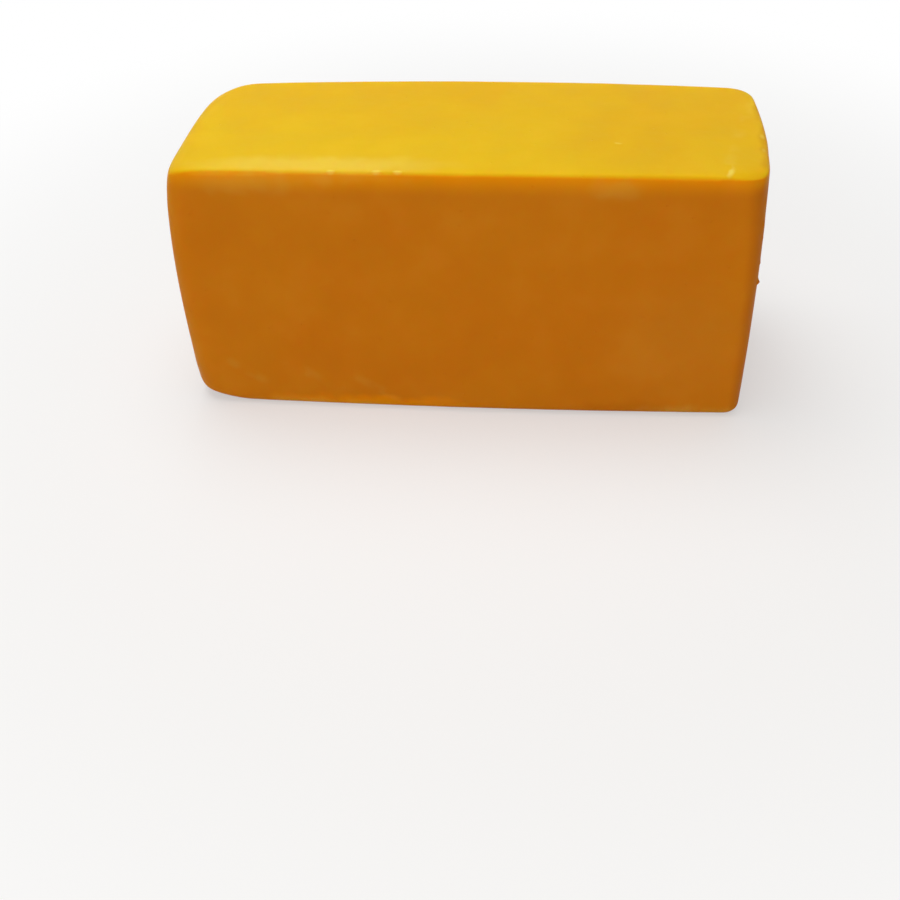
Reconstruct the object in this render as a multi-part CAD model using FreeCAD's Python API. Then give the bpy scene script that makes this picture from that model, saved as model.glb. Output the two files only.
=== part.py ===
"""A whole block of prato cheese, turned out of its loaf mould and standing on its narrow side.

Millimetres, +Z up, +X to the block's right end, -Y towards its front face.
The origin is at the middle of the bottom of the block's bounding box.
"""
import FreeCAD, Part
import math
import os

# Overall sizes, between the block's unrounded edges at half height
LENGTH = 260.0
WIDTH = 92.5
HEIGHT = 127.5

# Draft: how far each face leans in from half height to the top, and out to the foot
FRONT_DRAFT = 1.9
RIGHT_DRAFT = 1.5
BACK_DRAFT = 1.9
LEFT_DRAFT = 3.6

# Lean: how far right of half height the top sits
LEAN = 0.3

# Slant: how much further right the right end's back edge stands than its front edge
RIGHT_SLANT = 2.5

# Belly: how far each face swells out at half height, where the soft block has settled
FRONT_BELLY = 1.2
RIGHT_BELLY = 0.9
BACK_BELLY = 1.2
LEFT_BELLY = 2.8

# How much more the left face swells high up than it does low down
LEFT_BELLY_RISE = 1.8

# Bow: how far the middle of each face stands out from its upright edges, seen from above
FRONT_BOW = 2.2
RIGHT_BOW = 2.6
BACK_BOW = 2.8
LEFT_BOW = 0.6

# Radius of each upright edge, first at the foot and then at the top
FRONT_LEFT_RADII = (13.2, 9.4)
FRONT_RIGHT_RADII = (7.6, 11.0)
BACK_RIGHT_RADII = (13.9, 13.4)
BACK_LEFT_RADII = (21.4, 24.8)

# Radius of the rim round the top, on each side, and of the rim round the foot
TOP_RADII = {"front": 2.2, "right": 2.6, "back": 4.4, "left": 7.6}
FOOT_RADIUS = 4.8

# Top face: how far its highest place rises above HEIGHT, and how far left of the middle that place is
TOP_CROWN = 0.7
CROWN_SHIFT = 70.0

# Fall: how far the top sinks from its highest place to each end, slowly at first and faster near the end
LEFT_FALL = 0.7
RIGHT_FALL = 2.3

# Curl: the left end of the underside lifts off the table along an arc
CURL_LENGTH = 25.5
CURL_HEIGHT = 5.4

# Construction
OUTLINE_STEPS = 4       # steps from foot to top between the outlines that the faces are lofted through
TOP_STEPS = 4           # steps along the block between the points that the top line is drawn through
FALL_POWER = 3          # the top's fall grows with this power of the distance from its highest place
OVERRUN = 15.0          # how far the side-view slab reaches past the block
FACING_ANGLE = 45.0     # a face within this many degrees of a direction looks that way
MM3_PER_LITRE = 1e6

SIDES = ("front", "right", "back", "left")


def plan_corners(height):
    """Return the unrounded corners of the outline at a height, anticlockwise from the front left."""
    level = 2.0 * height / HEIGHT - 1.0
    belly = 1.0 - level ** 2
    front = -WIDTH / 2 - FRONT_BELLY * belly + FRONT_DRAFT * level
    right = LENGTH / 2 + RIGHT_BELLY * belly + (LEAN - RIGHT_DRAFT) * level
    back = WIDTH / 2 + BACK_BELLY * belly - BACK_DRAFT * level
    left_belly = (LEFT_BELLY + LEFT_BELLY_RISE * level) * belly
    left = -LENGTH / 2 - left_belly + (LEAN + LEFT_DRAFT) * level
    return [
        FreeCAD.Vector(left, front, height),
        FreeCAD.Vector(right - RIGHT_SLANT / 2, front, height),
        FreeCAD.Vector(right + RIGHT_SLANT / 2, back, height),
        FreeCAD.Vector(left, back, height),
    ]


def bowed_side(start, end, bow):
    """Return the centre and radius of the arc from start to end whose middle stands out by the bow."""
    chord = end - start
    outward = FreeCAD.Vector(chord.y, -chord.x, 0).normalize()
    radius = (chord.Length ** 2 / 4 + bow ** 2) / (2 * bow)
    centre = (start + end) / 2 - outward * (radius - bow)
    return centre, radius


def corner_centre(corner, side_before, side_after, radius):
    """Return the centre of the arc that rounds a corner and touches the two bowed sides beside it."""
    (centre_before, radius_before), (centre_after, radius_after) = side_before, side_after
    reach_before = radius_before - radius
    reach_after = radius_after - radius
    between = centre_after - centre_before
    along = (reach_before ** 2 - reach_after ** 2 + between.Length ** 2) / (2 * between.Length)
    across = math.sqrt(reach_before ** 2 - along ** 2)
    axis = FreeCAD.Vector(between).normalize()
    normal = FreeCAD.Vector(-axis.y, axis.x, 0)
    choices = [centre_before + axis * along + normal * across * way for way in (-1, 1)]
    return min(choices, key=lambda point: (point - corner).Length)


def toward(centre, point, radius):
    """Return the point at a radius from a centre, in the direction of another point."""
    return centre + (point - centre).normalize() * radius


def arc_about(centre, radius, start, end):
    """Return the edge of the short arc about a centre, from start to end."""
    middle = toward(centre, (start + end) / 2, radius)
    return Part.Arc(start, middle, end).toShape()


def plan_outline(height):
    """Return the closed wire round the block at a height: four round corners and four bowed sides."""
    rise = height / HEIGHT
    corners = plan_corners(height)
    bows = (FRONT_BOW, RIGHT_BOW, BACK_BOW, LEFT_BOW)
    edge_radii = (FRONT_LEFT_RADII, FRONT_RIGHT_RADII, BACK_RIGHT_RADII, BACK_LEFT_RADII)
    radii = [foot + (top - foot) * rise for foot, top in edge_radii]
    count = len(corners)
    sides = [bowed_side(corners[i], corners[(i + 1) % count], bows[i]) for i in range(count)]
    centres = [corner_centre(corners[i], sides[i - 1], sides[i], radii[i]) for i in range(count)]
    edges = []
    for i in range(count):
        corner_start = toward(sides[i - 1][0], centres[i], sides[i - 1][1])
        side_start = toward(sides[i][0], centres[i], sides[i][1])
        side_end = toward(sides[i][0], centres[(i + 1) % count], sides[i][1])
        edges.append(arc_about(centres[i], radii[i], corner_start, side_start))
        edges.append(arc_about(sides[i][0], sides[i][1], side_start, side_end))
    return Part.Wire(edges)


def lofted_sides():
    """Return a solid with the block's four faces and upright edges, run on below the foot and past the top."""
    step = HEIGHT / OUTLINE_STEPS
    outlines = [plan_outline(step * i) for i in range(-1, OUTLINE_STEPS + 2)]
    return Part.makeLoft(outlines, True)


def top_height(x):
    """Return the height of the top at a distance right of the block's middle."""
    from_crown = x + CROWN_SHIFT
    fall = RIGHT_FALL if from_crown > 0 else LEFT_FALL
    crown_to_end = LENGTH / 2 + math.copysign(CROWN_SHIFT, from_crown)
    return HEIGHT + TOP_CROWN - fall * (abs(from_crown) / crown_to_end) ** FALL_POWER


def top_line():
    """Return the edge of the gently crowned top, seen from the front, past both ends of the block."""
    span = LENGTH + 2 * OVERRUN
    places = [span * (i / TOP_STEPS - 0.5) for i in range(TOP_STEPS + 1)]
    curve = Part.BSplineCurve()
    curve.interpolate([FreeCAD.Vector(x, 0, top_height(x)) for x in places])
    return curve.toShape()


def underside_lines():
    """Return the edges of the underside, seen from the front: the flat foot and the curl at its left end."""
    radius = (CURL_LENGTH ** 2 + CURL_HEIGHT ** 2) / (2 * CURL_HEIGHT)
    curl_start = FreeCAD.Vector(CURL_LENGTH - LENGTH / 2, 0, 0)
    sweep = math.asin((CURL_LENGTH + OVERRUN) / radius)
    centre = curl_start + FreeCAD.Vector(0, 0, radius)
    curl_end = centre - FreeCAD.Vector(radius * math.sin(sweep), 0, radius * math.cos(sweep))
    foot_start = FreeCAD.Vector(LENGTH / 2 + OVERRUN, 0, 0)
    return [
        Part.LineSegment(foot_start, curl_start).toShape(),
        arc_about(centre, radius, curl_start, curl_end),
    ]


def side_view_slab():
    """Return a slab whose outline, seen from the front, is the block's top line and underside."""
    top = top_line()
    underside = underside_lines()
    right_end = Part.LineSegment(top.Vertexes[-1].Point, underside[0].Vertexes[0].Point).toShape()
    left_end = Part.LineSegment(underside[-1].Vertexes[-1].Point, top.Vertexes[0].Point).toShape()
    outline = Part.Wire([top, right_end] + underside + [left_end])
    depth = WIDTH + 2 * OVERRUN
    outline.translate(FreeCAD.Vector(0, -depth / 2, 0))
    return Part.Face(outline).extrude(FreeCAD.Vector(0, depth, 0))


def faces_towards(block, direction):
    """Return the block's faces that look in a direction."""
    found = []
    for face in block.Faces:
        u_low, u_high, v_low, v_high = face.ParameterRange
        normal = face.normalAt((u_low + u_high) / 2, (v_low + v_high) / 2)
        if normal.dot(direction) > math.cos(math.radians(FACING_ANGLE)):
            found.append(face)
    return found


def rim_of(faces):
    """Return the edges round a group of faces, without those that two of them share."""
    edges = [edge for face in faces for edge in face.Edges]
    return [edge for edge in edges if sum(edge.isSame(other) for other in edges) == 1]


def side_at(point):
    """Return the name of the side that a point of the rim lies on."""
    reaches = (-point.y / WIDTH, point.x / LENGTH, point.y / WIDTH, -point.x / LENGTH)
    return SIDES[reaches.index(max(reaches))]


def round_foot(block):
    """Return the block with the rim round its underside rounded."""
    return block.makeFillet(FOOT_RADIUS, rim_of(faces_towards(block, FreeCAD.Vector(0, 0, -1))))


def round_top(block):
    """Return the block with the rim round its top rounded, each side to its own radius."""
    rim = rim_of(faces_towards(block, FreeCAD.Vector(0, 0, 1)))
    roundings = []
    for number, edge in enumerate(block.Edges, start=1):
        if any(edge.isSame(other) for other in rim):
            start = edge.valueAt(edge.FirstParameter)
            end = edge.valueAt(edge.LastParameter)
            roundings.append((number, TOP_RADII[side_at(start)], TOP_RADII[side_at(end)]))
    document = FreeCAD.newDocument("Rounding")
    source = document.addObject("Part::Feature", "Source")
    source.Shape = block
    fillet = document.addObject("Part::Fillet", "Fillet")
    fillet.Base = source
    fillet.Edges = roundings
    document.recompute()
    return fillet.Shape.Solids[0]


def centred(block):
    """Return the block with the middle of its bounding box's bottom at the origin."""
    box = block.optimalBoundingBox(False)
    moved = block.copy()
    moved.translate(FreeCAD.Vector(-box.Center.x, -box.Center.y, -box.ZMin))
    return moved


def cheese_block():
    """Return the finished block: one solid of cheese."""
    sides = lofted_sides()
    block = sides.common(side_view_slab()).Solids[0]
    return centred(round_top(round_foot(block)))


def main():
    """Build the block and write it to parts/."""
    os.makedirs("parts", exist_ok=True)
    block = cheese_block()
    box = block.optimalBoundingBox(False)
    print(f"cheese_block: {box.XLength:.1f} x {box.YLength:.1f} x {box.ZLength:.1f} mm,"
          f" {block.Volume / MM3_PER_LITRE:.3f} litres, {len(block.Faces)} faces")
    block.exportStep(os.path.join("parts", "cheese_block.step"))


main()
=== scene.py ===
"""An uncut block of prato cheese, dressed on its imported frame."""

import logging
import math
import random
from dataclasses import dataclass, field
from enum import Enum

import bmesh
import bpy
from mathutils import Matrix, Vector


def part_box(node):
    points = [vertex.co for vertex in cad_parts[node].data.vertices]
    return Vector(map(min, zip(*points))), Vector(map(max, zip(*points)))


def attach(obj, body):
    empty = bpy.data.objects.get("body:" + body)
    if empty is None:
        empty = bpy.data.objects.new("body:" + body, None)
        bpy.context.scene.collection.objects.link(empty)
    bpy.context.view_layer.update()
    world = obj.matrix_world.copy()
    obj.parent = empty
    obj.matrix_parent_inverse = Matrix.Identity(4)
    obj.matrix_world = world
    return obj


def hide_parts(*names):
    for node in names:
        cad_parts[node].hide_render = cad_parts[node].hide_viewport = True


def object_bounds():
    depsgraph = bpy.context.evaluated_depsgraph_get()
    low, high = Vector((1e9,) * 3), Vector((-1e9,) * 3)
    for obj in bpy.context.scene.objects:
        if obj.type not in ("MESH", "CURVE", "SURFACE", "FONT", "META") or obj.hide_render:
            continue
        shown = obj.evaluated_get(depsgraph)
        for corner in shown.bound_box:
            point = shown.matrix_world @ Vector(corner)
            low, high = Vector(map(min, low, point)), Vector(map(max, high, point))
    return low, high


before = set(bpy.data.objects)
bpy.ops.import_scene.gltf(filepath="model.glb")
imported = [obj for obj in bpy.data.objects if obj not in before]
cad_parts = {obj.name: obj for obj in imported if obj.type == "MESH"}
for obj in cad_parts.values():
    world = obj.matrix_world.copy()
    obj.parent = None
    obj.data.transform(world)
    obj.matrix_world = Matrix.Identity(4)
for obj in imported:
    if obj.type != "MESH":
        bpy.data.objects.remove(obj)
CAD_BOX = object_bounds()

MM = 0.001
NODE = "cheese_block"
BODY = "root"
FOLD_MASK = "film_fold"
SMOOTH = {"interpolation_type": "SMOOTHSTEP"}
COLOURS = {"data_type": "RGBA"}
# Painted glow: the bright tone below the top edge, where light comes through it.
RIM_GLOW_TONE = "#FAAE08"
# Painted bounce light: the warm lighter tone along the foot.
FOOT_BOUNCE_TONE = "#FFA008"
# Pale tone of film folds and bloom, also used for painted highlights, glints, glow and
# bounce light.
PALE_BLOOM_AND_HIGHLIGHT = "#F4DA62"
# Painted shade: the deeper amber of sides and edges that turn away from the lamp.
SHADE_AMBER = "#B4560A"

# The block's faces, in millimetres in its own frame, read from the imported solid
LEFT_END, FRONT, FOOT = (v / MM for v in CAD_BOX[0])
RIGHT_END, BACK, TOP = (v / MM for v in CAD_BOX[1])
EDGE_SET_BACK = 7.5  # how far behind the front face the right front edge turns

# Shares of the block's height at which bits of paste stick to that edge
CRUMB_RISE = 0.575
GRAIN_RISES = (0.65, 0.75, 0.8, 0.88)

WELD_MM = 0.001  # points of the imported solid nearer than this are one

log = logging.getLogger("prato")

Triple = tuple[float, float, float]
Line = tuple[Triple, ...]


class Guide(Enum):
    """What a mark in the rind follows: lines, or single spots."""

    LINES = "EDGES"
    SPOTS = "POINTS"


def linear(hex_colour: str) -> tuple[float, float, float, float]:
    """Turns an sRGB colour into the linear one that nodes take.

    Args:
        hex_colour: The colour as "#RRGGBB".

    Returns:
        Linear red, green and blue, and an alpha of 1.
    """
    parts = [int(hex_colour[i : i + 2], 16) / 255 for i in (1, 3, 5)]
    red, green, blue = (
        p / 12.92 if p <= 0.04045 else ((p + 0.055) / 1.055) ** 2.4 for p in parts
    )
    return red, green, blue, 1.0


def add_node(
    tree: bpy.types.NodeTree,
    kind: str,
    settings: dict[str, object] | None = None,
    feeds: dict[str | int, object] | None = None,
) -> bpy.types.Node:
    """Adds a node, sets it up and feeds its inputs.

    Args:
        tree: The node tree that gets the node.
        kind: The node's type name.
        settings: Properties of the node and their values.
        feeds: For each input, by name or number, a socket to link or a value.

    Returns:
        The new node.
    """
    node = tree.nodes.new(kind)
    for name, value in (settings or {}).items():
        setattr(node, name, value)
    for name, feed in (feeds or {}).items():
        if isinstance(feed, bpy.types.NodeSocket):
            tree.links.new(feed, node.inputs[name])
        else:
            node.inputs[name].default_value = feed
    return node


def link_object(name: str, data: bpy.types.ID | None) -> bpy.types.Object:
    """Makes an object for some data and puts it in the scene.

    Args:
        name: The object's name.
        data: Its mesh, lamp or camera.

    Returns:
        The new object.
    """
    made = bpy.data.objects.new(name, data)
    bpy.context.scene.collection.objects.link(made)
    return made


def plain_mesh(piece: bpy.types.Object, name: str) -> bpy.types.Mesh:
    """Takes a piece's shape with its modifiers worked in.

    Args:
        piece: The object with live modifiers.
        name: The new mesh's name.

    Returns:
        A mesh that holds the finished shape and its attributes.
    """
    graph = bpy.context.evaluated_depsgraph_get()
    mesh = bpy.data.meshes.new_from_object(
        piece.evaluated_get(graph), preserve_all_data_layers=True, depsgraph=graph
    )
    mesh.name = name
    return mesh


@dataclass(frozen=True)
class Patch:
    """A soft-edged place where the rind has another tone.

    Its centre and its reach along each axis are in millimetres, in the block's
    frame, its strength is the most of the tone that it shows, and it may be
    turned about the upright axis, in degrees.
    """

    tone: str
    centre: Triple
    reach: Triple
    strength: float
    turn: float = 0.0

    def mask(
        self, tree: bpy.types.NodeTree, spot: bpy.types.NodeSocket
    ) -> bpy.types.NodeSocket:
        """Measures how much of the patch's tone shows at a place.

        Args:
            tree: The material's node tree.
            spot: The place in the block's frame.

        Returns:
            A socket that goes from the strength at the centre to 0 outside.
        """
        scaled = add_node(
            tree,
            "ShaderNodeMapping",
            {"vector_type": "TEXTURE"},
            {
                "Vector": spot,
                "Location": tuple(v * MM for v in self.centre),
                "Rotation": (0.0, 0.0, math.radians(self.turn)),
                "Scale": tuple(v * MM for v in self.reach),
            },
        )
        away = add_node(
            tree,
            "ShaderNodeVectorMath",
            {"operation": "LENGTH"},
            {0: scaled.outputs["Vector"]},
        )
        return add_node(
            tree,
            "ShaderNodeMapRange",
            {"interpolation_type": "SMOOTHSTEP"},
            {0: away.outputs["Value"], 1: 0.25, 2: 1.0, 3: self.strength, 4: 0.0},
        ).outputs["Result"]


@dataclass(frozen=True)
class GlintMark:
    """A short raised mark on the top, painted pale as a highlight, in millimetres.

    It starts some way left of the right end and some way behind the front
    face, and runs off at an angle from the block's length.
    """

    from_right: float
    from_front: float
    length: float
    angle: float
    breadth: float
    strength: float
    depth: float = 3.0

    def end(self, share: float) -> Triple:
        """Finds a place along the mark.

        Args:
            share: How far along it, from 0 at its start to 1 at its end.

        Returns:
            The place, at the height of the block's top.
        """
        along = share * self.length
        turn = math.radians(self.angle)
        return (
            RIGHT_END - self.from_right + along * math.cos(turn),
            FRONT + self.from_front + along * math.sin(turn),
            TOP,
        )

    def line(self) -> Line:
        """Returns the mark's two ends."""
        return self.end(0.0), self.end(1.0)

    def patches(self) -> tuple[Patch, ...]:
        """Returns the painted highlight along the mark."""
        reach = (self.length / 2 + self.breadth, self.breadth, self.depth)
        return (Patch(PALE_BLOOM_AND_HIGHLIGHT, self.end(0.5), reach, self.strength, self.angle),)


# The nick and the flecks are small raised marks whose pale tone is a painted highlight.
NICK = GlintMark(24.0, 3.0, 14.0, 77.0, 2.2, 0.80)
FLECKS = (
    GlintMark(188.0, 5.0, 2.5, 0.0, 1.3, 0.70),
    GlintMark(169.0, 5.0, 3.0, 0.0, 1.3, 0.70),
    GlintMark(160.0, 5.0, 3.0, 0.0, 1.3, 0.70),
    GlintMark(68.0, 33.0, 2.5, -15.0, 1.3, 0.45),
)


@dataclass(frozen=True)
class Pattern:
    """A random pattern: its grain in millimetres, where it is taken, its detail."""

    grain_mm: float
    shift: Triple
    detail: float = 1.0
    roughness: float = 0.5


@dataclass(frozen=True)
class WaxyRind:
    """Annatto-coloured semi-hard cheese, pressed in a mould and ripened in film.

    It has no dry crust: the skin is the paste itself, closed and slightly waxy.
    Its colour holds painted light and shade: golden on top and a deeper amber down
    the sides, a warm band of painted glow below the top edge, a painted sheen and
    glints on the top, and lighter painted bounce light along the foot. Light enters
    it and comes out a few millimetres away, redder, so edges glow and hollows stay
    warm. The film leaves a soft gloss, a fine grain and faint pale folds.
    """

    name: str = "Prato cheese rind, film-ripened"
    # The crown tones are painted light on the faces that look up, the flank tones painted
    # shade on the sides.
    crown: str = "#E5B810"
    crown_deep: str = "#E3AE0E"
    flank: str = "#E2931A"
    flank_deep: str = "#E18D18"
    patches: tuple[Patch, ...] = (
        # Painted shade: deeper amber along the top edges of both ends and low on the front
        # near the right end.
        Patch(SHADE_AMBER, (RIGHT_END - 2.0, 0.0, TOP - 2.0), (5.0, 70.0, 9.0), 0.34, -4.8),
        Patch(SHADE_AMBER, (LEFT_END + 4.0, 0.0, TOP - 4.0), (18.0, 75.0, 9.0), 0.16),
        Patch(SHADE_AMBER, (RIGHT_END - 56.0, FRONT, FOOT + 2.0), (36.0, 10.0, 9.0), 0.20),
        # Painted bounce light: a warm lighter band along the front's foot.
        Patch(FOOT_BOUNCE_TONE, (LEFT_END + 88.0, FRONT, FOOT + 3.0), (66.0, 10.0, 7.5), 0.90),
        # Painted glow: the bright tone reaches a little lower below the top edge near the
        # front right corner.
        Patch(RIM_GLOW_TONE, (RIGHT_END - 13.0, FRONT + 4.0, TOP - 3.0), (10.5, 4.0, 3.6), 0.85),
        # Painted highlight: a pale sheen along the front of the top, towards the left end.
        Patch(PALE_BLOOM_AND_HIGHLIGHT, (LEFT_END + 74.0, FRONT + 11.0, TOP), (72.0, 10.0, 12.0), 0.34),
        # Painted glow: paler patches just below the top edge of the front.
        Patch(PALE_BLOOM_AND_HIGHLIGHT, (LEFT_END + 42.0, FRONT + 5.0, TOP - 7.0), (30.0, 8.0, 7.0), 0.14),
        Patch(PALE_BLOOM_AND_HIGHLIGHT, (RIGHT_END - 68.0, FRONT + 5.0, TOP - 7.0), (15.0, 8.0, 7.0), 0.15),
        # Painted bounce light: lighter bands along the foot of the front.
        Patch(PALE_BLOOM_AND_HIGHLIGHT, (LEFT_END + 62.0, FRONT, FOOT), (46.0, 10.0, 8.0), 0.22),
        Patch(PALE_BLOOM_AND_HIGHLIGHT, (RIGHT_END - 30.0, FRONT + 3.0, FOOT), (34.0, 14.0, 8.0), 0.26),
        # A faint paler area over the lower right of the front.
        Patch(PALE_BLOOM_AND_HIGHLIGHT, (RIGHT_END - 36.0, FRONT, FOOT + 44.0), (46.0, 9.0, 50.0), 0.05),
        # Painted glow: a paler patch just below the top edge of the back.
        Patch(PALE_BLOOM_AND_HIGHLIGHT, (RIGHT_END - 98.0, BACK - 5.0, TOP - 8.0), (28.0, 8.0, 7.0), 0.15),
        # Painted bounce light: lighter bands along the foot of the back and both ends.
        Patch(PALE_BLOOM_AND_HIGHLIGHT, (RIGHT_END - 76.0, BACK, FOOT), (48.0, 10.0, 8.0), 0.26),
        Patch(PALE_BLOOM_AND_HIGHLIGHT, (RIGHT_END, 8.0, FOOT), (10.0, 28.0, 8.0), 0.26),
        Patch(PALE_BLOOM_AND_HIGHLIGHT, (LEFT_END + 8.0, -6.0, FOOT), (10.0, 26.0, 8.0), 0.26),
        # Painted highlights on the nick and the flecks.
        *NICK.patches(),
        *(patch for fleck in FLECKS for patch in fleck.patches()),
        # Painted glints on the top edge of the right end.
        Patch(PALE_BLOOM_AND_HIGHLIGHT, (RIGHT_END - 5.0, -8.0, TOP - 2.0), (1.4, 3.2, 1.6), 0.32),
        Patch(PALE_BLOOM_AND_HIGHLIGHT, (RIGHT_END - 6.0, -20.0, TOP - 2.0), (1.2, 2.6, 1.6), 0.26),
    )
    # How strongly painted shade darkens the faces that turn towards the right end.
    right_shade: float = 0.42
    fold_strength: float = 0.10
    bloom_strength: float = 0.025
    blotch_mm: float = 8.0
    clouds: Pattern = Pattern(60.0, (0.31, 0.0, 0.0), 2.0, 0.55)
    mottle: Pattern = Pattern(22.0, (0.0, 0.47, 0.0), 2.0)
    blotch: Pattern = Pattern(9.0, (0.0, 0.0, 0.83))
    ripple: Pattern = Pattern(5.0, (0.57, 0.0, 0.0))
    grain: Pattern = Pattern(1.4, (0.0, 0.29, 0.0))
    pinhole_mm: float = 8.0
    pinhole_radius_mm: float = 0.55
    # How far below the top edge the painted glow band reaches.
    rim_glow_mm: float = 12.0
    roughness: float = 0.44
    roughness_spread: float = 0.10
    ior: float = 1.45
    specular: float = 0.035
    glow: float = 0.85
    glow_reach: Triple = (1.0, 0.42, 0.10)
    glow_mm: float = 6.0

    def make(self, low: Vector, high: Vector) -> bpy.types.Material:
        """Builds the rind's node material.

        Args:
            low: The block's lowest corner.
            high: The block's highest corner.

        Returns:
            The material.
        """
        material = bpy.data.materials.new(self.name)
        material.use_nodes = True
        tree = material.node_tree
        tree.nodes.clear()
        centre = (low + high) / 2
        place = add_node(tree, "ShaderNodeTexCoord").outputs
        spot = add_node(
            tree,
            "ShaderNodeMapping",
            {"vector_type": "POINT"},
            {"Vector": place["Object"], "Location": tuple(-centre)},
        ).outputs["Vector"]
        patterns = self._patterns(tree, spot)
        half_spread = self.roughness_spread / 2
        gloss = add_node(
            tree,
            "ShaderNodeMapRange",
            SMOOTH,
            {
                0: patterns["mottle"]["Fac"],
                1: 0.3,
                2: 0.7,
                3: self.roughness - half_spread,
                4: self.roughness + half_spread,
            },
        )
        shader = add_node(
            tree,
            "ShaderNodeBsdfPrincipled",
            {"subsurface_method": "RANDOM_WALK"},
            {
                "Base Color": self._colour(tree, place, spot, high - centre, patterns),
                "Roughness": gloss.outputs["Result"],
                "IOR": self.ior,
                "Specular IOR Level": self.specular,
                "Subsurface Weight": self.glow,
                "Subsurface Radius": self.glow_reach,
                "Subsurface Scale": self.glow_mm * MM,
                "Normal": self._fine_relief(tree, spot, patterns),
            },
        )
        add_node(
            tree,
            "ShaderNodeOutputMaterial",
            None,
            {"Surface": shader.outputs["BSDF"]},
        )
        return material

    def _patterns(
        self, tree: bpy.types.NodeTree, spot: bpy.types.NodeSocket
    ) -> dict[str, bpy.types.bpy_prop_collection]:
        """Lays the rind's random patterns, each taken from a place of its own.

        Args:
            tree: The material's node tree.
            spot: The centred place on the block.

        Returns:
            Each pattern's outputs, by its name.
        """
        laid: dict[str, bpy.types.bpy_prop_collection] = {}
        for name in ("clouds", "mottle", "blotch", "ripple", "grain"):
            pattern: Pattern = getattr(self, name)
            moved = add_node(
                tree,
                "ShaderNodeMapping",
                {"vector_type": "POINT"},
                {"Vector": spot, "Location": pattern.shift},
            )
            laid[name] = add_node(
                tree,
                "ShaderNodeTexNoise",
                {"noise_dimensions": "3D"},
                {
                    "Vector": moved.outputs["Vector"],
                    "Scale": 1 / (pattern.grain_mm * MM),
                    "Detail": pattern.detail,
                    "Roughness": pattern.roughness,
                },
            ).outputs
        return laid

    def _colour(
        self,
        tree: bpy.types.NodeTree,
        place: bpy.types.bpy_prop_collection,
        spot: bpy.types.NodeSocket,
        half: Vector,
        patterns: dict[str, bpy.types.bpy_prop_collection],
    ) -> bpy.types.NodeSocket:
        """Colours the rind: golden crown and amber flanks, which are painted light and
        shade, patches of painted shade, glow, bounce light and highlights, folds and bloom.

        Args:
            tree: The material's node tree.
            place: The outputs that give the block's own coordinates.
            spot: The centred place on the block.
            half: Half the block's size.
            patterns: The random patterns' outputs.

        Returns:
            The colour's socket.
        """
        skin = self._sides(tree, place, spot, half, patterns)
        mottle = patterns["mottle"]["Fac"]
        mottled = add_node(
            tree,
            "ShaderNodeMapRange",
            SMOOTH,
            {0: mottle, 1: 0.25, 2: 0.75, 3: 0.98, 4: 1.02},
        )
        toned = add_node(
            tree,
            "ShaderNodeVectorMath",
            {"operation": "SCALE"},
            {0: skin, "Scale": mottled.outputs["Result"]},
        ).outputs["Vector"]
        # Larger patches are read at places that the blotches shift, so that their
        # edges are ragged. Small ones keep their shape.
        shifted = add_node(
            tree,
            "ShaderNodeVectorMath",
            {"operation": "SUBTRACT"},
            {0: patterns["blotch"]["Color"], 1: (0.5, 0.5, 0.5)},
        )
        ragged = add_node(
            tree,
            "ShaderNodeVectorMath",
            {"operation": "MULTIPLY_ADD"},
            {
                0: shifted.outputs["Vector"],
                1: (self.blotch_mm * MM,) * 3,
                2: place["Object"],
            },
        )
        for patch in self.patches:
            large = max(patch.reach) > self.blotch_mm
            read = ragged.outputs["Vector"] if large else place["Object"]
            toned = add_node(
                tree,
                "ShaderNodeMix",
                COLOURS,
                {0: patch.mask(tree, read), 6: toned, 7: linear(patch.tone)},
            ).outputs[2]
        fold = add_node(
            tree,
            "ShaderNodeAttribute",
            {"attribute_type": "GEOMETRY", "attribute_name": FOLD_MASK},
        )
        broken = add_node(
            tree,
            "ShaderNodeMapRange",
            SMOOTH,
            {0: patterns["blotch"]["Fac"], 1: 0.36, 2: 0.6, 4: self.fold_strength},
        )
        folded = add_node(
            tree,
            "ShaderNodeMath",
            {"operation": "MULTIPLY"},
            {0: fold.outputs["Fac"], 1: broken.outputs["Result"]},
        )
        bloom = add_node(
            tree,
            "ShaderNodeMapRange",
            SMOOTH,
            {0: mottle, 1: 0.5, 2: 0.72, 4: self.bloom_strength},
        )
        worn = add_node(
            tree,
            "ShaderNodeMath",
            {"operation": "MAXIMUM"},
            {0: folded.outputs["Value"], 1: bloom.outputs["Result"]},
        )
        return add_node(
            tree,
            "ShaderNodeMix",
            COLOURS,
            {0: worn.outputs["Value"], 6: toned, 7: linear(PALE_BLOOM_AND_HIGHLIGHT)},
        ).outputs[2]

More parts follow.
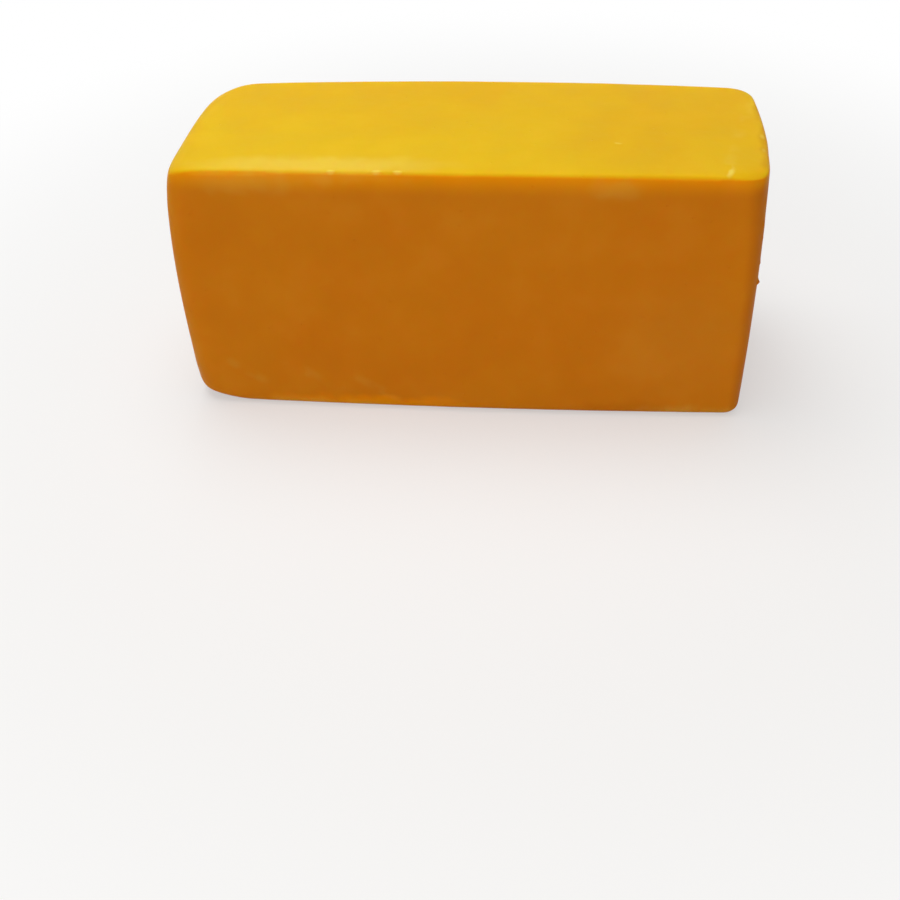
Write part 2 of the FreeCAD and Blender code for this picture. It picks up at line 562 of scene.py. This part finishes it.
    def _sides(
        self,
        tree: bpy.types.NodeTree,
        place: bpy.types.bpy_prop_collection,
        spot: bpy.types.NodeSocket,
        half: Vector,
        patterns: dict[str, bpy.types.bpy_prop_collection],
    ) -> bpy.types.NodeSocket:
        """Colours the crown and the flanks, as painted light and shade, and the band of
        painted glow below the top edge between them.

        Args:
            tree: The material's node tree.
            place: The outputs that give the block's own coordinates.
            spot: The centred place on the block.
            half: Half the block's size.
            patterns: The random patterns' outputs.

        Returns:
            The colour's socket.
        """
        way = add_node(tree, "ShaderNodeSeparateXYZ", None, {0: place["Normal"]})
        at = add_node(tree, "ShaderNodeSeparateXYZ", None, {0: spot}).outputs
        cloud = patterns["clouds"]["Fac"]
        sources = {
            "cloud": (cloud, 0.36, 0.64, 0.0, 1.0),
            # The crown grows darker and more orange towards the right end and the back.
            "along": (at["X"], -half.x, half.x, -0.25, 0.45),
            "across": (at["Y"], -half.y, half.y, -0.20, 0.45),
            # The flanks grow darker towards the foot.
            "down": (at["Z"], -half.z, half.z, 0.40, 0.14),
            # Painted shade: faces that turn towards the right end take the deeper amber.
            "right_shade": (way.outputs["X"], 0.05, 0.85, 0.0, self.right_shade),
            # Painted glow: the sides' band just below the top edge takes the bright glow
            # tone.
            "rim_glow": (at["Z"], half.z - self.rim_glow_mm * MM, half.z, 0.0, 1.0),
            # Painted light and shade: faces that look up take the crown tones, the sides
            # keep the deeper flank tones.
            "crown": (way.outputs["Z"], 0.15, 0.85, 0.0, 1.0),
        }
        share = {
            name: add_node(
                tree, "ShaderNodeMapRange", SMOOTH, dict(enumerate(values))
            ).outputs["Result"]
            for name, values in sources.items()
        }
        drift = add_node(
            tree,
            "ShaderNodeMath",
            {"operation": "ADD"},
            {0: share["along"], 1: share["across"]},
        ).outputs["Value"]
        tones = {}
        for name, clouds, slow, light, deep in (
            ("crown", 0.5, drift, self.crown, self.crown_deep),
            ("flank", 0.7, share["down"], self.flank, self.flank_deep),
        ):
            depth = add_node(
                tree,
                "ShaderNodeMath",
                {"operation": "MULTIPLY_ADD", "use_clamp": True},
                {0: share["cloud"], 1: clouds, 2: slow},
            )
            tones[name] = add_node(
                tree,
                "ShaderNodeMix",
                COLOURS,
                {0: depth.outputs["Value"], 6: linear(light), 7: linear(deep)},
            ).outputs[2]
        skin = tones["flank"]
        for name, tone in (
            ("right_shade", linear(SHADE_AMBER)),
            ("rim_glow", linear(RIM_GLOW_TONE)),
            ("crown", tones["crown"]),
        ):
            skin = add_node(
                tree, "ShaderNodeMix", COLOURS, {0: share[name], 6: skin, 7: tone}
            ).outputs[2]
        return skin

    def _fine_relief(
        self,
        tree: bpy.types.NodeTree,
        spot: bpy.types.NodeSocket,
        patterns: dict[str, bpy.types.bpy_prop_collection],
    ) -> bpy.types.NodeSocket:
        """Adds the relief that is finer than the mesh: ripples, pinholes, grain.

        Args:
            tree: The material's node tree.
            spot: The centred place on the block.
            patterns: The random patterns' outputs.

        Returns:
            The changed normal's socket.
        """
        cells = add_node(
            tree,
            "ShaderNodeTexVoronoi",
            {"voronoi_dimensions": "3D", "feature": "F1"},
            {"Vector": spot, "Scale": 1 / (self.pinhole_mm * MM)},
        )
        radius = self.pinhole_radius_mm / self.pinhole_mm
        pinholes = add_node(
            tree,
            "ShaderNodeMapRange",
            SMOOTH,
            {0: cells.outputs["Distance"], 1: radius * 0.4, 2: radius},
        )
        direction: dict[str | int, object] = {}
        for height, strength, depth_mm in (
            (patterns["ripple"]["Fac"], 0.6, 0.25),
            (pinholes.outputs["Result"], 0.8, 0.30),
            (patterns["grain"]["Fac"], 0.5, 0.06),
        ):
            raised = add_node(
                tree,
                "ShaderNodeBump",
                None,
                {
                    "Height": height,
                    "Strength": strength,
                    "Distance": depth_mm * MM,
                    **direction,
                },
            )
            direction = {"Normal": raised.outputs["Normal"]}
        return raised.outputs["Normal"]


@dataclass(frozen=True)
class PaleFloor:
    """Matt white studio card: it shows the block's soft shadow and no gloss.

    To the camera, and in gloss, it runs into the white behind it a short way
    out. What it sends back on to the block is that of a pale wooden table.
    """

    name: str = "Studio card, matt white"
    colour: str = "#F6F6F5"
    bounce: str = "#B49070"
    clear_from: float = 0.20
    clear_to: float = 0.50
    least_clear: float = 0.45

    def make(self) -> bpy.types.Material:
        """Builds the floor's node material.

        Returns:
            The material.
        """
        material = bpy.data.materials.new(self.name)
        material.use_nodes = True
        tree = material.node_tree
        tree.nodes.clear()
        place = add_node(tree, "ShaderNodeTexCoord")
        reach = add_node(
            tree,
            "ShaderNodeVectorMath",
            {"operation": "LENGTH"},
            {0: place.outputs["Object"]},
        )
        fade = add_node(
            tree,
            "ShaderNodeMapRange",
            {"interpolation_type": "SMOOTHSTEP"},
            {
                0: reach.outputs["Value"],
                1: self.clear_from,
                2: self.clear_to,
                3: self.least_clear,
            },
        )
        seen = seen_directly(tree)
        tone = add_node(
            tree,
            "ShaderNodeMix",
            {"data_type": "RGBA"},
            {0: seen, 6: linear(self.bounce), 7: linear(self.colour)},
        )
        card = add_node(
            tree, "ShaderNodeBsdfDiffuse", None, {"Color": tone.outputs[2]}
        )
        white = add_node(
            tree,
            "ShaderNodeEmission",
            None,
            {"Color": (1.0, 1.0, 1.0, 1.0), "Strength": 1.0},
        )
        share = add_node(
            tree,
            "ShaderNodeMath",
            {"operation": "MULTIPLY"},
            {0: fade.outputs["Result"], 1: seen},
        )
        mixed = add_node(
            tree,
            "ShaderNodeMixShader",
            None,
            {
                0: share.outputs["Value"],
                1: card.outputs["BSDF"],
                2: white.outputs["Emission"],
            },
        )
        add_node(
            tree,
            "ShaderNodeOutputMaterial",
            None,
            {"Surface": mixed.outputs["Shader"]},
        )
        return material


def seen_directly(tree: bpy.types.NodeTree) -> bpy.types.NodeSocket:
    """Tells the rays that show a backdrop from those that light the scene.

    Args:
        tree: The node tree of the backdrop's material or of the world.

    Returns:
        A socket that is 1 for camera, glossy and transmission rays.
    """
    path = add_node(tree, "ShaderNodeLightPath")
    mirror = add_node(
        tree,
        "ShaderNodeMath",
        {"operation": "MAXIMUM"},
        {
            0: path.outputs["Is Glossy Ray"],
            1: path.outputs["Is Transmission Ray"],
        },
    )
    seen = add_node(
        tree,
        "ShaderNodeMath",
        {"operation": "MAXIMUM"},
        {0: path.outputs["Is Camera Ray"], 1: mirror.outputs["Value"]},
    )
    return seen.outputs["Value"]


@dataclass(frozen=True)
class Marks:
    """Marks of one kind on the rind, in millimetres in the block's frame.

    The height is above the skin, and below it where it is negative. A mark
    fades out over its width, measured from its line or spot.
    """

    name: str
    guide: Guide
    width: float
    height: float
    lines: tuple[Line, ...]
    step: float = 4.0

    def build(self, skin: bpy.types.Object) -> bpy.types.Object:
        """Makes the guide that the relief measures its distance from.

        Args:
            skin: The block's skin, on to which the guide is laid.

        Returns:
            An object of bare edges, or of bare points where a line has one.
        """
        points: list[Vector] = []
        edges: list[tuple[int, int]] = []
        for line in self.lines:
            first = len(points)
            route = [Vector(p) for p in line]
            for start, end in zip(route, route[1:]):
                parts = max(1, round((end - start).length / self.step))
                points += [start.lerp(end, i / parts) for i in range(parts)]
            points.append(route[-1])
            edges += [(i, i + 1) for i in range(first, len(points) - 1)]
        laid = [skin.closest_point_on_mesh(p * MM)[1] for p in points]
        mesh = bpy.data.meshes.new(self.name)
        mesh.from_pydata(laid, edges, [])
        return link_object(self.name, mesh)


@dataclass(frozen=True)
class FoldFan:
    """Slanting folds that the film pressed into a face near its foot.

    The first begins some way in from a corner and each next one further in.
    They rise towards the corner, and are uneven by chance, from a fixed seed: a
    fold's place shifts by a share of the spacing within its spread, and its
    slant, length and height are multiplied by a number within theirs. Sizes are
    in millimetres and angles in degrees.
    """

    corner: tuple[float, float]
    inward: tuple[float, float]
    seed: int
    count: int = 4
    first: float = 16.0
    spacing: float = 19.0
    height: float = 9.0
    length: float = 24.0
    slant: float = 36.0
    place_spread: tuple[float, float] = (-0.35, 0.35)
    slant_spread: tuple[float, float] = (0.7, 1.2)
    length_spread: tuple[float, float] = (0.5, 1.1)
    height_spread: tuple[float, float] = (0.5, 2.6)

    def lines(self) -> tuple[Line, ...]:
        """Lays out the folds.

        Returns:
            A straight line for each fold, from its low end to its high one.
        """
        chance = random.Random(self.seed)
        laid = []
        for place in range(self.count):
            step = place + chance.uniform(*self.place_spread)
            low = self.first + self.length + step * self.spacing
            rise = math.radians(self.slant * chance.uniform(*self.slant_spread))
            reach = self.length * chance.uniform(*self.length_spread)
            foot = self.height * chance.uniform(*self.height_spread)
            high = low - reach * math.cos(rise)
            top = foot + reach * math.sin(rise)
            laid.append((self._at(low, foot), self._at(high, top)))
        return tuple(laid)

    def _at(self, inward: float, height: float) -> Triple:
        """Returns the place that far in from the corner and that high."""
        return (
            self.corner[0] + self.inward[0] * inward,
            self.corner[1] + self.inward[1] * inward,
            FOOT + height,
        )


FOLD_FANS = (
    FoldFan((LEFT_END, FRONT), (1.0, 0.0), 3),
    FoldFan((RIGHT_END, BACK), (-1.0, 0.0), 5),
    FoldFan((LEFT_END, BACK), (1.0, 0.0), 8, count=3),
    FoldFan((RIGHT_END, BACK), (0.0, -1.0), 11, count=2),
    FoldFan((LEFT_END, BACK), (0.0, -1.0), 13, count=2),
)
RIGHT_CREASE: Line = (
    (RIGHT_END - 22.0, FRONT + 18.0, TOP),
    (RIGHT_END - 6.0, FRONT + 74.0, TOP),
)


@dataclass
class RindRelief:
    """The rind's unevenness, as a Geometry Nodes tree that moves the skin."""

    wave_mm: float = 46.0
    wave_depth_mm: float = 0.22
    dimple_mm: float = 13.0
    dimple_depth_mm: float = 0.05
    seed: float = 17.0
    folds: Marks = Marks(
        "folds",
        Guide.LINES,
        4.2,
        0.18,
        (RIGHT_CREASE, *(line for fan in FOLD_FANS for line in fan.lines())),
    )
    others: tuple[Marks, ...] = (
        Marks("nick", Guide.LINES, 2.0, 0.45, (NICK.line(),)),
        Marks("flecks", Guide.LINES, 1.2, 0.40, tuple(f.line() for f in FLECKS)),
        Marks(
            "lip",
            Guide.LINES,
            1.6,
            -0.22,
            (((LEFT_END + 20.0, FRONT, TOP), (LEFT_END + 53.0, FRONT, TOP)),),
        ),
        Marks(
            "press",
            Guide.LINES,
            6.0,
            -0.6,
            (((RIGHT_END - 20.0, FRONT, TOP), (RIGHT_END - 6.0, FRONT, TOP)),),
        ),
        Marks(
            "crumb",
            Guide.SPOTS,
            1.9,
            1.1,
            (((RIGHT_END, FRONT + EDGE_SET_BACK, TOP * CRUMB_RISE),),),
        ),
        Marks(
            "grains",
            Guide.SPOTS,
            1.7,
            0.35,
            tuple(
                ((RIGHT_END, FRONT + EDGE_SET_BACK, TOP * rise),)
                for rise in GRAIN_RISES
            ),
        ),
        Marks(
            "swell",
            Guide.LINES,
            16.0,
            0.35,
            (((RIGHT_END, -8.0, TOP - 7.0), (RIGHT_END, 38.0, TOP - 7.0)),),
        ),
        Marks(
            "slack",
            Guide.LINES,
            11.0,
            -0.45,
            (((RIGHT_END, FRONT, TOP - 4.0), (RIGHT_END, FRONT, TOP - 20.0)),),
        ),
        Marks(
            "bulge",
            Guide.LINES,
            13.0,
            0.40,
            (((LEFT_END, FRONT, TOP - 11.0), (LEFT_END, FRONT, FOOT + 22.0)),),
        ),
    )

    def apply(
        self,
        skin: bpy.types.Object,
        material: bpy.types.Material,
        low: Vector,
        high: Vector,
    ) -> None:
        """Gives the skin its relief and makes it a plain mesh again.

        Args:
            skin: The block's smooth skin.
            material: The rind's material.
            low: The lowest corner the skin may reach.
            high: The highest corner it may reach.
        """
        values: dict[str, object] = {
            "Wave Size": self.wave_mm * MM,
            "Wave Depth": self.wave_depth_mm * MM,
            "Dimple Size": self.dimple_mm * MM,
            "Dimple Depth": self.dimple_depth_mm * MM,
            "Seed": self.seed,
            "Low Corner": tuple(low),
            "High Corner": tuple(high),
            "Rind": material,
        }
        guides = []
        for marks in (self.folds, *self.others):
            guide = marks.build(skin)
            guides.append(guide)
            values[f"{marks.name} Guide"] = guide
            values[f"{marks.name} Width"] = marks.width * MM
            values[f"{marks.name} Height"] = marks.height * MM
        tree = self._tree()
        modifier = skin.modifiers.new("relief", "NODES")
        modifier.node_group = tree
        sockets = {
            item.name: item.identifier
            for item in tree.interface.items_tree
            if item.item_type == "SOCKET" and item.in_out == "INPUT"
        }
        for name, value in values.items():
            modifier[sockets[name]] = value
        finished = plain_mesh(skin, skin.name)
        skin.modifiers.clear()
        skin.data = finished
        for guide in guides:
            bpy.data.objects.remove(guide)

    def _tree(self) -> bpy.types.NodeTree:
        """Builds the relief's node tree.

        Returns:
            The tree, with a named input for each size.
        """
        tree = bpy.data.node_groups.new("Rind relief", "GeometryNodeTree")
        kinds = {
            "Geometry": "NodeSocketGeometry",
            "Wave Size": "NodeSocketFloat",
            "Wave Depth": "NodeSocketFloat",
            "Dimple Size": "NodeSocketFloat",
            "Dimple Depth": "NodeSocketFloat",
            "Seed": "NodeSocketFloat",
            "Low Corner": "NodeSocketVector",
            "High Corner": "NodeSocketVector",
            "Rind": "NodeSocketMaterial",
        }
        for marks in (self.folds, *self.others):
            kinds[f"{marks.name} Guide"] = "NodeSocketObject"
            kinds[f"{marks.name} Width"] = "NodeSocketFloat"
            kinds[f"{marks.name} Height"] = "NodeSocketFloat"
        for name, kind in kinds.items():
            tree.interface.new_socket(name, in_out="INPUT", socket_type=kind)
        tree.interface.new_socket(
            "Geometry", in_out="OUTPUT", socket_type="NodeSocketGeometry"
        )
        given = add_node(tree, "NodeGroupInput").outputs
        lift = add_node(
            tree,
            "ShaderNodeMath",
            {"operation": "ADD"},
            {
                0: self._hollows(
                    tree, given["Wave Size"], given["Wave Depth"], given["Seed"]
                ),
                1: self._hollows(
                    tree, given["Dimple Size"], given["Dimple Depth"], given["Seed"]
                ),
            },
        ).outputs["Value"]
        near: dict[str, bpy.types.NodeSocket] = {}
        for marks in (self.folds, *self.others):
            near[marks.name] = self._nearness(
                tree,
                given[f"{marks.name} Guide"],
                given[f"{marks.name} Width"],
                marks.guide,
            )
            lift = add_node(
                tree,
                "ShaderNodeMath",
                {"operation": "MULTIPLY_ADD"},
                {0: near[marks.name], 1: given[f"{marks.name} Height"], 2: lift},
            ).outputs["Value"]
        outward = add_node(tree, "GeometryNodeInputNormal")
        shift = add_node(
            tree,
            "ShaderNodeVectorMath",
            {"operation": "SCALE"},
            {0: outward.outputs["Normal"], "Scale": lift},
        )
        place = add_node(tree, "GeometryNodeInputPosition")
        kept = add_node(
            tree,
            "ShaderNodeVectorMath",
            {"operation": "ADD"},
            {0: place.outputs["Position"], 1: shift.outputs["Vector"]},
        )
        for bound, corner in (("MAXIMUM", "Low Corner"), ("MINIMUM", "High Corner")):
            kept = add_node(
                tree,
                "ShaderNodeVectorMath",
                {"operation": bound},
                {0: kept.outputs["Vector"], 1: given[corner]},
            )
        marked = add_node(
            tree,
            "GeometryNodeStoreNamedAttribute",
            {"data_type": "FLOAT", "domain": "POINT"},
            {"Geometry": given["Geometry"], "Name": FOLD_MASK, "Value": near["folds"]},
        )
        placed = add_node(
            tree,
            "GeometryNodeSetPosition",
            None,
            {
                "Geometry": marked.outputs["Geometry"],
                "Position": kept.outputs["Vector"],
            },
        )
        real = add_node(
            tree,
            "GeometryNodeRealizeInstances",
            None,
            {"Geometry": placed.outputs["Geometry"]},
        )
        dressed = add_node(
            tree,
            "GeometryNodeSetMaterial",
            None,
            {"Geometry": real.outputs["Geometry"], "Material": given["Rind"]},
        )
        add_node(tree, "NodeGroupOutput", None, {0: dressed.outputs["Geometry"]})
        return tree

    def _hollows(
        self,
        tree: bpy.types.NodeTree,
        size: bpy.types.NodeSocket,
        depth: bpy.types.NodeSocket,
        seed: bpy.types.NodeSocket,
    ) -> bpy.types.NodeSocket:
        """Makes a soft random sinking, never above the skin.

        Args:
            tree: The relief's node tree.
            size: How far apart the hollows are.
            depth: How deep they go.
            seed: Which random pattern it is.

        Returns:
            The height's socket, from minus the depth to 0.
        """
        scale = add_node(
            tree, "ShaderNodeMath", {"operation": "DIVIDE"}, {0: 1.0, 1: size}
        )
        place = add_node(tree, "GeometryNodeInputPosition")
        noise = add_node(
            tree,
            "ShaderNodeTexNoise",
            {"noise_dimensions": "4D"},
            {
                "Vector": place.outputs["Position"],
                "W": seed,
                "Scale": scale.outputs["Value"],
                "Detail": 1.0,
            },
        )
        sunk = add_node(
            tree,
            "ShaderNodeMapRange",
            None,
            {0: noise.outputs["Fac"], 1: 0.2, 2: 0.8, 3: -1.0, 4: 0.0},
        )
        return add_node(
            tree,
            "ShaderNodeMath",
            {"operation": "MULTIPLY"},
            {0: sunk.outputs["Result"], 1: depth},
        ).outputs["Value"]

    def _nearness(
        self,
        tree: bpy.types.NodeTree,
        guide: bpy.types.NodeSocket,
        width: bpy.types.NodeSocket,
        kind: Guide,
    ) -> bpy.types.NodeSocket:
        """Measures how near the skin is to a guide's lines or spots.

        Args:
            tree: The relief's node tree.
            guide: The guide object's socket.
            width: The distance at which the mark has faded out.
            kind: Whether the guide is of lines or of spots.

        Returns:
            A socket that is 1 on the mark and 0 away from it.
        """
        info = add_node(
            tree,
            "GeometryNodeObjectInfo",
            {"transform_space": "RELATIVE"},
            {"Object": guide},
        )
        distance = add_node(
            tree,
            "GeometryNodeProximity",
            {"target_element": kind.value},
            {0: info.outputs["Geometry"]},
        )
        return add_node(
            tree,
            "ShaderNodeMapRange",
            {"interpolation_type": "SMOOTHERSTEP"},
            {0: distance.outputs["Distance"], 1: 0.0, 2: width, 3: 1.0, 4: 0.0},
        ).outputs["Result"]


@dataclass(frozen=True)
class SoftCorner:
    """A corner that the mould left rounder, its place and reach in millimetres."""

    name: str
    place: Triple
    reach: float
    passes: int

    def round_off(self, skin: bpy.types.Object) -> None:
        """Rounds the corner by evening out the skin round it.

        Args:
            skin: The block's skin.
        """
        group = skin.vertex_groups.new(name=self.name)
        centre = Vector(self.place) * MM
        for vertex in skin.data.vertices:
            near = 1 - (vertex.co - centre).length / (self.reach * MM)
            if near > 0:
                group.add([vertex.index], near * near * (3 - 2 * near), "REPLACE")
        even = skin.modifiers.new(self.name, "SMOOTH")
        even.factor = 0.5
        even.iterations = self.passes
        even.vertex_group = group.name


@dataclass
class CheeseBlock:
    """The block's skin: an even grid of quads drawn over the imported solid."""

    cell_mm: float = 1.38
    standoff_mm: float = 5.0
    turn_mm: float = 9.0
    smoothing: int = 10
    corners: tuple[SoftCorner, ...] = (
        SoftCorner("front_left_top", (-126.0, -45.0, 125.0), 20.0, 200),
        SoftCorner("front_right_top", (130.0, -44.0, 126.0), 16.0, 120),
        SoftCorner("back_left_top", (-129.0, 24.0, 123.0), 26.0, 240),
        SoftCorner("front_left_foot", (-125.0, -47.0, 1.0), 19.0, 120),
    )
    rind: WaxyRind = field(default_factory=WaxyRind)
    relief: RindRelief = field(default_factory=RindRelief)

    def build(self) -> bpy.types.Object:
        """Makes the finished block.

        Returns:
            The block, riding on its body.
        """
        low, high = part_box(NODE)
        skin = link_object("prato_block", self._wrapping_box(low, high))
        self._draw_on(skin)
        material = self.rind.make(low, high)
        skin.data.materials.append(material)
        self.relief.apply(skin, material, low, high)
        skin.data.polygons.foreach_set(
            "use_smooth", [True] * len(skin.data.polygons)
        )
        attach(skin, BODY)
        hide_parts(NODE)
        return skin

    def _wrapping_box(self, low: Vector, high: Vector) -> bpy.types.Mesh:
        """Makes a box of quads with turned edges, a little larger than the block.

        Args:
            low: The block's lowest corner.
            high: The block's highest corner.

        Returns:
            The box's mesh, closed and facing outwards.
        """
        turn = self.turn_mm * MM
        centre = (low + high) / 2
        half = (high - low) / 2 + Vector((1, 1, 1)) * self.standoff_mm * MM
        cells = [max(2, round(2 * h / (self.cell_mm * MM))) for h in half]
        index: dict[tuple[int, int, int], int] = {}
        points: list[Vector] = []

        def corner(at: tuple[int, int, int]) -> int:
            """Finds or makes the point at a place in the lattice.

            Args:
                at: The place, in cells along each axis.

            Returns:
                The point's number.
            """
            if at not in index:
                flat = Vector(
                    (2 * at[a] / cells[a] - 1) * half[a] for a in range(3)
                )
                core = Vector(
                    max(turn - half[a], min(half[a] - turn, flat[a]))
                    for a in range(3)
                )
                index[at] = len(points)
                points.append(centre + core + (flat - core).normalized() * turn)
            return index[at]

        faces: list[tuple[int, ...]] = []
        for axis in range(3):
            one, two = (axis + 1) % 3, (axis + 2) % 3
            for end in (0, cells[axis]):
                for i in range(cells[one]):
                    for j in range(cells[two]):
                        ring = [(i, j), (i + 1, j), (i + 1, j + 1), (i, j + 1)]
                        if end == 0:
                            ring.reverse()
                        quad = []
                        for u, v in ring:
                            at = [0, 0, 0]
                            at[axis], at[one], at[two] = end, u, v
                            quad.append(corner((at[0], at[1], at[2])))
                        faces.append(tuple(quad))
        mesh = bpy.data.meshes.new("wrapping_box")
        mesh.from_pydata(points, [], faces)
        mesh.update()
        return mesh

    def _draw_on(self, skin: bpy.types.Object) -> None:
        """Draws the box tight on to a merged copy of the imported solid.

        Args:
            skin: The box, which gets the solid's shape.
        """
        joined = bmesh.new()
        joined.from_mesh(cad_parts[NODE].data)
        bmesh.ops.remove_doubles(joined, verts=joined.verts, dist=WELD_MM * MM)
        copy = bpy.data.meshes.new("packed_copy")
        joined.to_mesh(copy)
        joined.free()
        copy.polygons.foreach_set("use_smooth", [True] * len(copy.polygons))
        target = link_object("packed_copy", copy)
        wrap = skin.modifiers.new("wrap", "SHRINKWRAP")
        wrap.target = target
        wrap.wrap_method = "TARGET_PROJECT"
        smooth = skin.modifiers.new("even", "SMOOTH")
        smooth.factor = 0.5
        smooth.iterations = self.smoothing
        skin.data = plain_mesh(skin, "skin")
        skin.modifiers.clear()
        for corner in self.corners:
            corner.round_off(skin)
        skin.data = plain_mesh(skin, "skin")
        skin.modifiers.clear()
        skin.vertex_groups.clear()
        bpy.data.objects.remove(target)
        bpy.data.meshes.remove(copy)


@dataclass
class Viewpoint:
    """The camera: in front of the block, a little to its right, looking down."""

    place: Triple = (0.04002, -0.42417, 0.33662)
    heading_deg: float = 6.941
    down_deg: float = 38.427
    roll_deg: float = -2.824
    sensor_mm: float = 36.0
    lens_mm: float = 41.469
    rise: float = -0.1111

    def build(self) -> bpy.types.Object:
        """Makes the camera and gives it to the scene.

        Returns:
            The camera.
        """
        data = bpy.data.cameras.new("camera")
        data.sensor_width = self.sensor_mm
        data.lens = self.lens_mm
        data.shift_y = self.rise
        data.clip_start = 0.01
        data.clip_end = 20.0
        camera = link_object("camera", data)
        turn = (
            Matrix.Rotation(math.radians(self.heading_deg), 4, "Z")
            @ Matrix.Rotation(math.radians(90 - self.down_deg), 4, "X")
            @ Matrix.Rotation(math.radians(self.roll_deg), 4, "Z")
        )
        camera.matrix_world = Matrix.Translation(Vector(self.place)) @ turn
        bpy.context.scene.camera = camera
        return camera


@dataclass
class SoftLamp:
    """A square diffused lamp that looks at a point on the block."""

    name: str
    place: Triple
    aim: Triple
    size: float
    watts: float
    colour: Triple = (1.0, 1.0, 1.0)

    def build(self) -> bpy.types.Object:
        """Makes the lamp.

        Returns:
            The lamp.
        """
        data = bpy.data.lights.new(self.name, "AREA")
        data.shape = "SQUARE"
        data.size = self.size
        data.energy = self.watts
        data.color = self.colour
        lamp = link_object(self.name, data)
        way = Vector(self.aim) - Vector(self.place)
        lamp.rotation_mode = "QUATERNION"
        lamp.rotation_quaternion = way.to_track_quat("-Z", "Y")
        lamp.location = self.place
        return lamp


@dataclass
class Studio:
    """A pale floor under one large overhead lamp, with a weak warm fill."""

    floor_radius: float = 3.0
    ambient: float = 0.40
    ambient_tint: str = "#FFFFFF"
    finish: PaleFloor = field(default_factory=PaleFloor)
    lamps: tuple[SoftLamp, ...] = (
        SoftLamp("key", (-0.17, 0.14, 1.0), (0.0, 0.0, 0.10), 0.70, 5.6),
        SoftLamp(
            "fill", (-0.04, -1.10, 0.40), (0.0, 0.0, 0.06), 0.90, 3.38, (1.0, 0.9, 0.78)
        ),
    )

    def build(self) -> list[bpy.types.Object]:
        """Makes the floor, the world and the lamps.

        Returns:
            The floor and the lamps.
        """
        return [self._floor(), *(lamp.build() for lamp in self.lamps), self._world()]

    def _floor(self) -> bpy.types.Object:
        """Makes the floor, a disc under the block.

        Returns:
            The floor.
        """
        disc = bmesh.new()
        bmesh.ops.create_circle(
            disc, cap_ends=True, segments=96, radius=self.floor_radius
        )
        mesh = bpy.data.meshes.new("floor")
        disc.to_mesh(mesh)
        disc.free()
        mesh.materials.append(self.finish.make())
        floor = link_object("floor", mesh)
        return floor

    def _world(self) -> bpy.types.World:
        """Makes the world: white to look at, and a low even light.

        Returns:
            The world.
        """
        world = bpy.data.worlds.new("studio")
        world.use_nodes = True
        tree = world.node_tree
        tree.nodes.clear()
        seen = seen_directly(tree)
        strength = add_node(
            tree,
            "ShaderNodeMapRange",
            None,
            {0: seen, 1: 0.0, 2: 1.0, 3: self.ambient, 4: 1.0},
        )
        glow = add_node(
            tree,
            "ShaderNodeBackground",
            None,
            {
                "Color": linear(self.ambient_tint),
                "Strength": strength.outputs["Result"],
            },
        )
        add_node(
            tree,
            "ShaderNodeOutputWorld",
            None,
            {"Surface": glow.outputs["Background"]},
        )
        bpy.context.scene.world = world
        return world


def main() -> None:
    """Builds the camera, the block and the studio, and reports each."""
    logging.basicConfig(level=logging.INFO, format="%(name)s: %(message)s")
    bpy.context.scene.view_settings.view_transform = "Standard"
    camera = Viewpoint().build()
    log.info("%s at %s", camera.name, tuple(round(v, 3) for v in camera.location))
    block = CheeseBlock().build()
    log.info("%s: %d faces", block.name, len(block.data.polygons))
    for item in Studio().build():
        log.info("%s", item.name)


if __name__ == "__main__":
    main()
